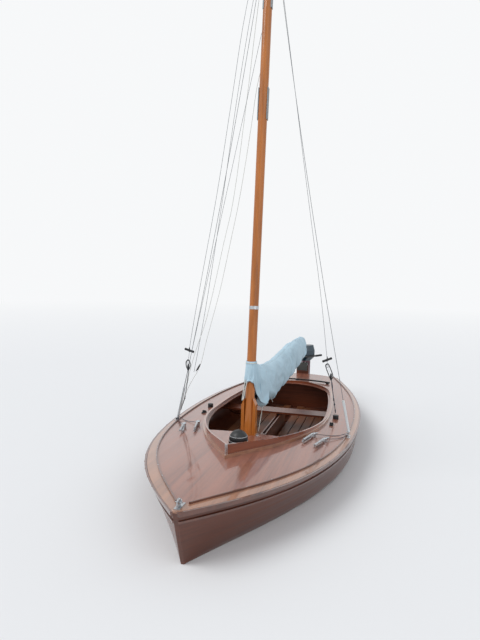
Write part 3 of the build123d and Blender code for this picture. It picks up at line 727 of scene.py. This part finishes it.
def sail_bundle():
    """The folded sail and boom under the cover: fuller at the top, narrow below."""
    rows = []
    for x, half, top, low in SECTIONS[::3]:
        slack = 0.020 + 0.016 * noise.noise(Vector((x * 2.3, 0.0, 4.0)))
        ring = []
        for turn in np.linspace(0, math.tau, 28, endpoint=False):
            below = max(0.0, -math.cos(turn))
            reach = 1 - (slack / half) - 0.34 * below
            lump = 1 + 0.12 * noise.noise(Vector((x * 4.6, math.sin(turn) * 1.7, math.cos(turn) * 1.7)))
            centre = (top + low) / 2
            up = (top - low) / 2 * (1 - 0.16 * below)
            spot = half * reach * lump * math.sin(turn), centre + (up - 0.008) * math.cos(turn)
            ring.append(Vector((x, *spot)))
        rows.append(ring)
    return Shape().rings(rows).mesh("bundle")


def hem_held():
    """The front and aft rows, and the hems at each tie."""
    held = {start + i for start in (0, (COVER_ROWS - 1) * COVER_COLUMNS) for i in range(COVER_COLUMNS)}
    for number, x in enumerate(places):
        from_tie = abs((places[0] - x + TIE_EVERY / 2) % TIE_EVERY - TIE_EVERY / 2)
        if from_tie < NEAR_TIE:
            start = number * COVER_COLUMNS
            held |= {start, start + 1, start + COVER_COLUMNS - 2, start + COVER_COLUMNS - 1}
    return held


def long_sheet():
    shares = np.linspace(-1, 1, COVER_COLUMNS)
    rows = [[cover_point(*line, share, -0.002) for share in shares] for line in SECTIONS]
    sheet = grid_sheet("cover_long_sheet", rows, cover_cloth)
    moved = settle(sheet, sail_bundle(), hem_held(), frames=28, cap=0.045)
    print("long sheet fell at most", round(moved, 3), "m")
    rumple(sheet, 0.013, 3.0)
    points = [v.co.copy() for v in sheet.data.vertices]
    hems = [(points[i * COVER_COLUMNS + 1], points[(i + 1) * COVER_COLUMNS - 2]) for i in range(COVER_ROWS)]
    thicken(sheet, -1.0)
    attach(sheet, "boom")
    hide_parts("sail_cover")
    return hems


HEMS = long_sheet()

# %% [markdown]
# ## The hood round the mast
# A short sheet wraps the mast, tight at its top hem. Its front stops above the deck, its sides hang
# down in two points past the boom's end, and its back lies over the front of the long sheet. It is
# let go over the mast and the long sheet's front like the cover.

# %% Hood
def row(s, w, z):
    """A point written as its distance aft of the bow, its distance to port and its height."""
    return Vector((3.05 - s, w, z))


def mast_axis(z):
    """The middle of the mast at a height."""
    return row(1.975 + MAST_SLOPE * (z - 0.4), 0, z)


# Where the lower hem hangs, by how many degrees round the mast from its front
HOOD_HEM = {
    0: row(1.964, 0.000, 0.990), 40: row(1.976, 0.046, 0.968), 85: row(2.030, 0.080, 0.895),
    115: row(2.120, 0.104, 0.775), 140: row(2.255, 0.122, 0.692), 156: row(2.350, 0.146, 0.800),
    170: row(2.392, 0.112, 0.990), 180: row(2.392, 0.000, 1.096),
}
HOOD_COLUMNS, HOOD_ROWS = 96, 30
HOOD_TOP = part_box("cover_collar")[1].z - 0.004
MAST_GIRTH_R = 0.048
NECK_R = MAST_GIRTH_R + 0.005
HOOD_ROUND = np.linspace(0, 360, HOOD_COLUMNS, endpoint=False)


def hood_point(degrees, down):
    """A point of the hood. degrees is 0 ahead of the mast, down is 0 at the top hem and 1 at the lower."""
    turn = math.radians(degrees)
    folded = min(degrees, 360 - degrees)
    hem = Vector([np.interp(folded, list(HOOD_HEM), [p[i] for p in HOOD_HEM.values()]) for i in range(3)])
    hem.y *= -1 if degrees > 180 else 1
    out = Vector((math.cos(turn), math.sin(turn), 0))
    point = (mast_axis(HOOD_TOP) + out * NECK_R).lerp(hem, down)
    back = (1 - math.cos(turn)) / 2
    pleats = math.sin(turn * 9 + 2.2 * math.sin(turn) + 2.0 * down)
    wander = noise.noise(Vector((math.cos(turn) * 2.2, math.sin(turn) * 2.2, down * 3.0)))
    belly = math.sin(math.pi * down)
    return point + out * (belly * (0.014 * back + 0.006 * pleats) + 0.010 * down * (0.5 + wander))


def hood_bundle():
    """The mast and the front of the long sheet, for the hood to fall over."""
    solid = Shape().bar([mast_axis(0.55), mast_axis(1.35)], MAST_GIRTH_R, 24)
    near = [line for line in SECTIONS if line[0] > HOOD_HEM[180].x - 0.12]
    shares = [share / (1 - COVER_GAP) for share in np.linspace(-1, 1, 28, endpoint=False)]
    solid.rings([[cover_point(*line, share, 0.004) for share in shares] for line in near])
    return solid.mesh("hood_bundle")


def hood_held():
    """The two top rows, and the lower hem at its front, its two points and its back."""
    ties = (0, 40, 140, 180, 220, 320, 360)
    near = [i for i, degrees in enumerate(HOOD_ROUND) if min(abs(degrees - tie) for tie in ties) < 3]
    return {*range(2 * HOOD_COLUMNS), *((HOOD_ROWS - 1) * HOOD_COLUMNS + i for i in near)}


def make_hood():
    rows = [[hood_point(degrees, down) for degrees in HOOD_ROUND] for down in np.linspace(0, 1, HOOD_ROWS)]
    hood = grid_sheet("cover_hood", rows, hood_cloth, closed=True)
    moved = settle(hood, hood_bundle(), hood_held(), frames=24, cap=0.035)
    print("hood fell at most", round(moved, 3), "m")
    rumple(hood, 0.009, 8.0)
    last = (HOOD_ROWS - 2) * HOOD_COLUMNS
    edge = [hood.data.vertices[last + i] for i in range(HOOD_COLUMNS)]
    hem = [(vertex.co.copy(), vertex.normal.copy()) for vertex in edge]
    thicken(hood, 0.0)
    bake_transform(hood)
    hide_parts("cover_collar")
    return hem


HOOD_EDGE = make_hood()

# %% Eyelets, lacing and ties
EYELET_AT = (12, 32, 60, 90, 118, 150, 172, 188, 210, 242, 270, 300, 328, 348)
LACED = HEMS[4:-4:5]
LACE_R = 0.0022
TAPE_W, TAPE_T = 0.010, 0.0014
CORD_R = 0.0035
# Each piece of tapes: its body, then for each tape the way its width lies and its points
TAPES = {
    "hood_ties": ("hull_and_rig", [
        [(0, 1, 0), (1.966, -0.042, 1.000), (1.955, -0.055, 0.90), (1.955, -0.068, 0.781)],
        [(0.4, 1, 0), (1.964, -0.024, 0.985), (1.950, -0.040, 0.88), (1.950, -0.055, 0.793)],
    ]),
    "cover_tie": ("boom", [[(1, 0, 0), (2.600, 0.094, 0.737), (2.600, 0.104, 0.680), (2.600, 0.122, 0.629)]]),
}


def tape(shape, points, across):
    """A flat tape along a path; across is the way its width lies."""
    path = through(points, 5)
    rings = []
    for before, here, after in zip([path[0], *path], path, [*path[1:], path[-1]]):
        run = (after - before).normalized()
        wide = (Vector(across) - run * Vector(across).dot(run)).normalized() * TAPE_W / 2
        thick = run.cross(wide).normalized() * TAPE_T / 2
        rings.append([here - wide - thick, here + wide - thick, here + wide + thick, here - wide + thick])
    shape.rings(rings)


def make_cover_trim():
    eyelets, neck_cord, lacing = Shape(), Shape(), Shape()
    for degrees in EYELET_AT:
        spot, way = HOOD_EDGE[round(degrees / 360 * HOOD_COLUMNS) % HOOD_COLUMNS]
        eyelets.ring(spot + way * 0.0012, way, 0.0075, 0.0018, 6, 16)
    neck = [mast_axis(HOOD_TOP - 0.018) + Vector((math.cos(t), math.sin(t), 0)) * (NECK_R + 0.005)
            for t in np.linspace(0, math.tau, 32, endpoint=False)]
    neck_cord.bar(neck, CORD_R, 8, closed=True)
    for name, shape, finish in (("hood_eyelets", eyelets, steel), ("hood_neck_cord", neck_cord, tie_cord)):
        made = shape.mesh(name, finish)
        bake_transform(made)

    lacing.bar([pair[i % 2] for i, pair in enumerate(LACED)], LACE_R, 6)
    for pair in LACED:
        for spot in pair:
            lacing.ring(spot, UP, 0.006, 0.0016, 6, 12)
    lacing.piece("cover_lacing", "boom", "cover_cloth", tie_cord)

    for name, (body, lines) in TAPES.items():
        tapes = Shape()
        for across, *points in lines:
            tape(tapes, [row(*point) for point in points], across)
        tapes.piece(name, body, "cover_cloth", tie_cord)
    low, high = row(2.000, 0.103, 0.459), row(2.400, 0.068, 0.735)
    line = Shape().bar([low.lerp(high, share) for share in np.linspace(0, 1, 13)], CORD_R, 8)
    made = line.mesh("boom_line", tie_cord)
    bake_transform(made)


make_cover_trim()
print("cover trim:", len(EYELET_AT), "hood eyelets,", len(LACED), "pairs of hem eyelets")

# %% [markdown]
# ## Rigging
# The frame has the two shrouds and one stay. The rest is pulled tight or hangs between them: a
# trapeze wire on each side with its handle, hook and elastic cord, slack halyards led to the
# starboard chainplate, and the tails of the stay levers. They are thin round bars along a few points.

# %% Rigging lines
WIRE_R, ROPE_R, TAIL_R = 0.0022, 0.0028, 0.003
HEAD_Z = 5.9
PORT_GRIP, STARBOARD_GRIP = (2.930, 0.690, 1.105), (2.539, -0.884, 1.175)
# Each line: the height at which it leaves the mast, then its points
WIRES = {
    "port trapeze": [HEAD_Z, (2.46, 0.152, 4.958), (2.709, 0.435, 2.968), (2.83, 0.596, 1.90), PORT_GRIP],
    "starboard trapeze": [
        HEAD_Z, (2.477, -0.253, 4.97), (2.493, -0.409, 3.99), (2.511, -0.57, 2.957), (2.528, -0.77, 1.867),
        (2.537, -0.868, 1.299), STARBOARD_GRIP,
    ],
    "stay tail": [
        HEAD_Z, (2.468, -0.189, 4.959), (2.476, -0.346, 3.98), (2.484, -0.485, 2.952), (2.492, -0.644, 1.872),
        (2.497, -0.738, 1.312), (2.50, -0.808, 0.928),
    ],
}
ROPES = {
    "jib halyard": [
        HEAD_Z, (2.467, -0.125, 4.952), (2.475, -0.232, 3.973), (2.482, -0.357, 2.949), (2.486, -0.47, 2.419),
        (2.489, -0.586, 1.874), (2.492, -0.679, 1.501), (2.494, -0.785, 1.191), (2.497, -0.905, 0.767),
        (2.50, -0.991, 0.433),
    ],
    "pole lift": [
        4.35, (2.321, -0.077, 4.077), (2.346, -0.149, 3.597), (2.379, -0.259, 2.932), (2.403, -0.368, 2.415),
        (2.429, -0.488, 1.879), (2.456, -0.643, 1.321), (2.472, -0.724, 1.011), (2.486, -0.874, 0.735),
        (2.50, -0.978, 0.446),
    ],
}
LEVER_TAILS = (
    [(2.235, 0.655, 0.415), (2.39, 0.86, 0.372), (2.49, 0.985, 0.382)],
    [(2.140, 0.785, 0.405), (2.33, 0.92, 0.368), (2.48, 0.99, 0.378)],
)


def make_lines():
    wires, ropes, tails = Shape(), Shape(), Shape()
    for shape, lines, radius in ((wires, WIRES, WIRE_R), (ropes, ROPES, ROPE_R)):
        for height, *points in lines.values():
            shape.bar(through([mast_axis(height), *[row(*point) for point in points]], 4), radius, 6)
    for side in (1, -1):
        for points in LEVER_TAILS:
            tails.bar(through([row(s, w * side, z) for s, w, z in points], 5), TAIL_R, 6)
    wires.piece("rigging_wires", "hull_and_rig", "stainless", wire)
    ropes.piece("slack_halyards", "hull_and_rig", "cover_cloth", tie_cord)
    tails.piece("lever_tails", "hull_and_rig", "black_plastic", dark_cord)


make_lines()
print("rigging:", len(WIRES), "wires and", len(ROPES), "ropes")

# %% Trapeze handles, hooks and chainplate links
HANDLE_WAY = Vector((-0.2681, 0.9634, 0))
HANDLE_END = [(0.004, 0.0), (0.012, 0.003), (0.015, 0.010), (0.0135, 0.024)]
GRIP_HALF, PLATE_HALF, BELOW_GRIP = 0.057, 0.022, UP * 0.02
# Each side's grip, how far the handle tilts, and its ring, its hook and the cord's way to the deck
HANDLES = (
    (PORT_GRIP, 0.023, [(2.95, 0.695, 1.029), (2.95, 0.74, 0.913), (2.95, 0.779, 0.653),
                        (2.96, 0.793, 0.570), (3.05, 0.800, 0.450)]),
    (STARBOARD_GRIP, -0.02, [(2.54, -0.90, 1.035), (2.55, -0.90, 0.98), (2.56, -0.905, 0.862),
                             (2.52, -0.93, 0.600), (2.50, -0.985, 0.43)]),
)


def trapeze(plastic, metal_parts, cord, grip, lift, below):
    """A T handle across its wire, a hook plate with a ring below it, and elastic cord to the deck."""
    grip = row(*grip)
    ring_at, hook_at, *to_deck = [row(*point) for point in below]
    facing = HANDLE_WAY.cross(UP)
    way = HANDLE_WAY * GRIP_HALF + UP * lift
    length = 2 * way.length
    plastic.turned(grip - way, way, HANDLE_END + [(r, length - h) for r, h in reversed(HANDLE_END)], 16)
    plastic.turned(grip - BELOW_GRIP, UP, [(0.006, 0), (0.009, 0.01), (0.007, 0.04), (0.003, 0.06)], 14)
    metal_parts.bar([grip - BELOW_GRIP, ring_at], WIRE_R, 6)
    metal_parts.ring(ring_at, facing, 0.016, 0.003, 8, 20)
    metal_parts.bar([ring_at, hook_at], WIRE_R, 6)
    for aside in (HANDLE_WAY * -PLATE_HALF, HANDLE_WAY * PLATE_HALF):
        plate_edge = [ring_at + UP * 0.03, ring_at + aside, hook_at + aside, hook_at - UP * 0.05]
        plastic.bar(through(plate_edge, 4), 0.0055, 8)
    hook = through([hook_at + UP * 0.03, hook_at, hook_at - UP * 0.04], 3)
    plastic.bar(hook, [0.006, 0.009, 0.012, 0.013, 0.012, 0.009, 0.006], 10)
    for point in to_deck:
        metal_parts.ring(point, facing, 0.009, 0.0022, 6, 14)
    line = through([hook_at, *to_deck], 9)
    cord.bar(line, [0.0075 if i % 7 in (3, 4) else 0.0042 for i in range(len(line))], 8)


def make_handles():
    plastic, metal_parts, cord = Shape(), Shape(), Shape()
    for handle in HANDLES:
        trapeze(plastic, metal_parts, cord, *handle)
    plastic.piece("trapeze_handles", "hull_and_rig", "black_plastic", black)
    metal_parts.piece("trapeze_rings", "hull_and_rig", "stainless", steel)
    cord.piece("trapeze_cords", "hull_and_rig", "black_plastic", dark_cord)


def shackle(shape, pin, down, across, size, thick):
    """A bow of round bar from a pin, with the pin's two ends standing out."""
    down, across = Vector(down).normalized() * size, Vector(across).normalized() * size * 0.45
    shoulders = [pin + across * 1.15 + down * 0.6, pin + down * 1.15, pin - across * 1.15 + down * 0.6]
    shape.bar(through([pin + across, *shoulders, pin - across], 5), thick, 8)
    shape.bar([pin - across * 1.5, pin + across * 1.5], thick * 1.25, 8)


def make_links():
    links, hooks = Shape(), Shape()
    for side in (1, -1):
        shackle(links, row(2.45, side, 0.372), (0.3, -0.5 * side, 0.4), (1, 0.4 * side, 0), 0.034, 0.0035)
        shackle(links, row(2.50, side, 0.392), (-0.4, -0.8 * side, 0.2), (1, 0, 0), 0.030, 0.003)
        plunger = [(0.0075, 0), (0.0085, 0.01), (0.006, 0.03)]
        links.turned(row(2.499, 0.997 * side, 0.380), (0.0, -0.2 * side, 1), plunger, 12)
        for s, w, z in ((2.235, 0.655, 0.425), (2.14, 0.785, 0.415)):
            shackle(links, row(s, w * side, z), (-0.9, 0.35 * side, -0.15), (0.3, 1, 0.3), 0.052, 0.005)
            ends = ((0.30, 0.072, 0.012), (0.06, 0.016, 0.006))
            links.bar([row(s - fore, (w - inward) * side, z + up) for fore, inward, up in ends], 0.011, 12)
    shackle(links, row(0.070, 0, 0.503), (-0.7, 0.15, -0.35), (0, 1, 0), 0.036, 0.004)
    shackle(links, row(0.108, -0.008, 0.494), (-0.8, -0.35, 0.05), (0.3, 1, 0.2), 0.034, 0.004)
    shackle(links, row(1.95, 0.096, 0.425), (-0.2, 0.8, -0.2), (1, 0, 0.2), 0.030, 0.003)
    hook = through([row(2.472, -0.722, 1.035), row(2.475, -0.745, 0.99), row(2.478, -0.775, 0.945)], 3)
    hooks.bar(hook, [0.004, 0.007, 0.009, 0.010, 0.009, 0.007, 0.004], 8)
    links.piece("shackles", "hull_and_rig", "stainless", steel)
    hooks.piece("halyard_hook", "hull_and_rig", "black_plastic", black)


make_handles()
make_links()
print("trapeze handles and shackles made")

# %% [markdown]
# ## Small fittings
# The compass has a bright bezel, the breakwater a pale metal strip down its stem, the mast a sail
# track on its aft face, and the motor's cowl moulded seams, vents and a pull handle.

# %% Deck and mast fittings
TRACK_T = 0.003
TAPER_FROM, TAPER_LONG = 4.83, 2.67
HELM = math.radians(-45)


def band_round(node, share, grow):
    """A closed path round a node at a share of its height, grown outwards."""
    low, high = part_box(node)
    found = cuts(node, 2, low.z + (high.z - low.z) * share).mean(1)
    middle = Vector((found.min(0) + found.max(0)) / 2)
    found = sorted(found.tolist(), key=lambda p: math.atan2(p[1] - middle.y, p[0] - middle.x))
    return [Vector(p) + (Vector(p) - middle).normalized() * grow for p in found[:: max(1, len(found) // 48)]]


def make_fittings():
    bright = Shape()
    for share, thick in ((0.30, 0.004), (0.62, 0.0025)):
        bright.bar(band_round("compass", share, 0.001), thick, 8, closed=True)
    lean = Vector((0.012, 0, 0.13)).normalized()
    axes = [(lean.z, 0, -lean.x), (0, 1, 0), lean]
    bright.block(row(1.192, 0, 0.49), (0.006, 0.026, 0.145), axes, 0.002)
    bright.piece("bright_fittings", "hull_and_rig", "stainless", steel)

    track = Shape()
    for foot, head, girth in ((1.26, 4.80, MAST_GIRTH_R), (4.90, 7.40, None)):
        for step, wide in enumerate((0.004, 0.008)):
            corners = ((TRACK_T, -wide), (TRACK_T, wide), (-TRACK_T / 2, wide), (-TRACK_T / 2, -wide))
            rings = []
            for z in np.linspace(foot, head, 9):
                radius = girth or 0.042 - 0.016 * (z - TAPER_FROM) / TAPER_LONG
                back = mast_axis(z) - Vector((radius + 0.002 + TRACK_T * step, 0, 0))
                rings.append([back + Vector((x, y, 0)) for x, y in corners])
            track.rings(rings)
    track.piece("sail_track", "hull_and_rig", "grey_alloy", alloy)


def make_motor_trim():
    seam = Shape()
    for share in (0.30, 0.345, 0.39):
        seam.bar(band_round("motor_cowl", share, -0.0005), 0.0022, 6, closed=True)
    helm = Matrix.Rotation(HELM, 3, "Z")
    pivot = Vector(next(j for j in frame["joints"] if j["name"] == "motor_steer")["pos_m"])
    ways = [helm @ Vector(way) for way in ((1, 0, 0), (0, 1, 0), (0, 0, 1))]
    vents = [((-0.196, port, 0.735), (0.006, 0.016, 0.05), 0.002) for port in (-0.045, -0.015, 0.015, 0.045)]
    pull = [
        ((0.052, 0, 0.725), (0.010, 0.070, 0.020), 0.004),
        ((0.070, 0, 0.725), (0.026, 0.016, 0.014), 0.003),
    ]
    for (fore, port, z), size, edge in vents + pull:
        spot = helm @ Vector((fore, port, 0)) + pivot
        seam.block((spot.x, spot.y, z), size, ways, edge)
    seam.piece("motor_seams", "motor", "black_plastic", black)


make_fittings()
make_motor_trim()
print("fittings made")

# %% [markdown]
# ## Screws and plugs by the hundred
# Each small repeated shape is made once and set at a list of points by one Geometry Nodes tree. The
# points are read off the frame's solids, so they follow the boards if those change.

# %% Scatter tree
def scatter_tree():
    """Sets a shape at each point, its Z along the point's way, and spins it about that at random."""
    tree = bpy.data.node_groups.new("scatter", "GeometryNodeTree")
    for name, kind in (("Geometry", "Geometry"), ("Shape", "Object"), ("Scale", "Float"), ("Spin", "Float"),
                       ("Seed", "Int"), ("Material", "Material")):
        tree.interface.new_socket(name, in_out="INPUT", socket_type="NodeSocket" + kind)
    tree.interface.new_socket("Geometry", in_out="OUTPUT", socket_type="NodeSocketGeometry")
    nodes = {name: tree.nodes.new(kind) for name, kind in (
        ("given", "NodeGroupInput"), ("made", "NodeGroupOutput"), ("shape", "GeometryNodeObjectInfo"),
        ("way", "GeometryNodeInputNamedAttribute"), ("face", "FunctionNodeAlignRotationToVector"),
        ("place", "GeometryNodeInstanceOnPoints"), ("chance", "FunctionNodeRandomValue"),
        ("turn", "ShaderNodeCombineXYZ"), ("spin", "GeometryNodeRotateInstances"),
        ("real", "GeometryNodeRealizeInstances"), ("paint", "GeometryNodeSetMaterial"),
    )}
    nodes["way"].data_type = "FLOAT_VECTOR"
    nodes["way"].inputs["Name"].default_value = "way"

    def socket_of(sockets, name):
        return next(socket for socket in sockets if socket.enabled and socket.name == name)

    for link in (
        "given Shape shape Object", "given Geometry place Points", "shape Geometry place Instance",
        "way Attribute face Vector", "face Rotation place Rotation", "given Scale place Scale",
        "place Instances spin Instances", "given Spin chance Max", "given Seed chance Seed",
        "chance Value turn Z", "turn Vector spin Rotation", "spin Instances real Geometry",
        "real Geometry paint Geometry", "given Material paint Material", "paint Geometry made Geometry",
    ):
        start, out, end, into = link.split()
        tree.links.new(socket_of(nodes[start].outputs, out), socket_of(nodes[end].inputs, into))
    return tree


TREE = scatter_tree()
SOCKETS = {item.name: item.identifier for item in TREE.interface.items_tree if item.in_out == "INPUT"}
print("scatter tree with", len(TREE.nodes), "nodes")


def scatter(name, spots, shape, body, finish, seed):
    """Sets a small shape at (point, way) pairs, its own Z along way."""
    source = shape.mesh(name + "_one", finish)
    base = make_mesh(name, [spot for spot, _ in spots], [])
    base.data.attributes.new("way", "FLOAT_VECTOR", "POINT").data.foreach_set(
        "vector", [c for _, way in spots for c in Vector(way).normalized()]
    )
    modifier = base.modifiers.new("scatter", "NODES")
    modifier.node_group = TREE
    for label, value in (("Shape", source), ("Scale", 1.0), ("Spin", math.tau), ("Seed", seed),
                         ("Material", finish.material)):
        modifier[SOCKETS[label]] = value
    bpy.context.view_layer.update()
    made = applied(base)
    bpy.data.objects.remove(source)
    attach(base, body)
    print(name, len(spots), "set,", len(made.polygons), "faces")


# %% Screws and plugs
PLUG_EVERY, TOE_EVERY = 0.18, 0.24
FROM_STERN, FROM_BOW = 0.12, 0.35
RIB_X = (0.70, 0.10, -1.20, -1.65)
BOARD_GAP, BOARD_W = 0.006, 0.09
SCREW_SHARES = (0.22, 0.78)


def edge_spots(node, every, top):
    """Points along both sides of a node: on its outer face, or on its top."""
    low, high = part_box(node)
    spots = []
    for x in np.arange(low.x + FROM_STERN, high.x - FROM_BOW, every):
        found = cuts(node, 0, x).reshape(-1, 3)
        for side in (1, -1):
            half = found[found[:, 1] * side > 0]
            if len(half) < 3:
                continue
            if top:
                spots.append((Vector((x, half[:, 1].mean(), half[:, 2].max())), (0, 0, 1)))
            else:
                outer = half[np.abs(half[:, 1]) > np.abs(half[:, 1]).max() - 0.004]
                spots.append((Vector((x, outer[:, 1].mean(), outer[:, 2].mean())), (0, side, 0.1)))
    return spots


def board_spots():
    """Two points across each floorboard at each rib under it."""
    spots = []
    for x in RIB_X:
        points = sorted(cuts("floorboards", 0, x).reshape(-1, 3).tolist(), key=lambda p: p[1])
        groups = [[points[0]]]
        for point in points[1:]:
            if point[1] - groups[-1][-1][1] > BOARD_GAP and point[1] - groups[-1][0][1] > BOARD_W:
                groups.append([])
            groups[-1].append(point)
        for group in groups:
            left, right, z = group[0][1], group[-1][1], max(p[2] for p in group)
            for share in SCREW_SHARES:
                spots.append((Vector((x, left + (right - left) * share, z)), (0, 0, 1)))
    return spots


UNDER = (0, 0, -0.0008)
plug = Shape().turned(UNDER, UP, [(0.0062, 0), (0.0062, 0.0010), (0.0056, 0.0014)], 12)
screw = Shape().turned(UNDER, UP, [(0.0042, 0), (0.0042, 0.0012), (0.0030, 0.0022)], 10)
screw.block((0, 0, 0.0014), (0.006, 0.0008, 0.0006), edge=0.0001)
plug_spots = edge_spots("rub_rails", PLUG_EVERY, False)
scatter("rail_plugs", plug_spots, plug, "hull_and_rig", margin_wood, 3)
scatter("toe_screws", edge_spots("toe_rails", TOE_EVERY, True), screw, "hull_and_rig", steel, 5)
scatter("board_screws", board_spots(), screw, "hull_and_rig", steel, 7)
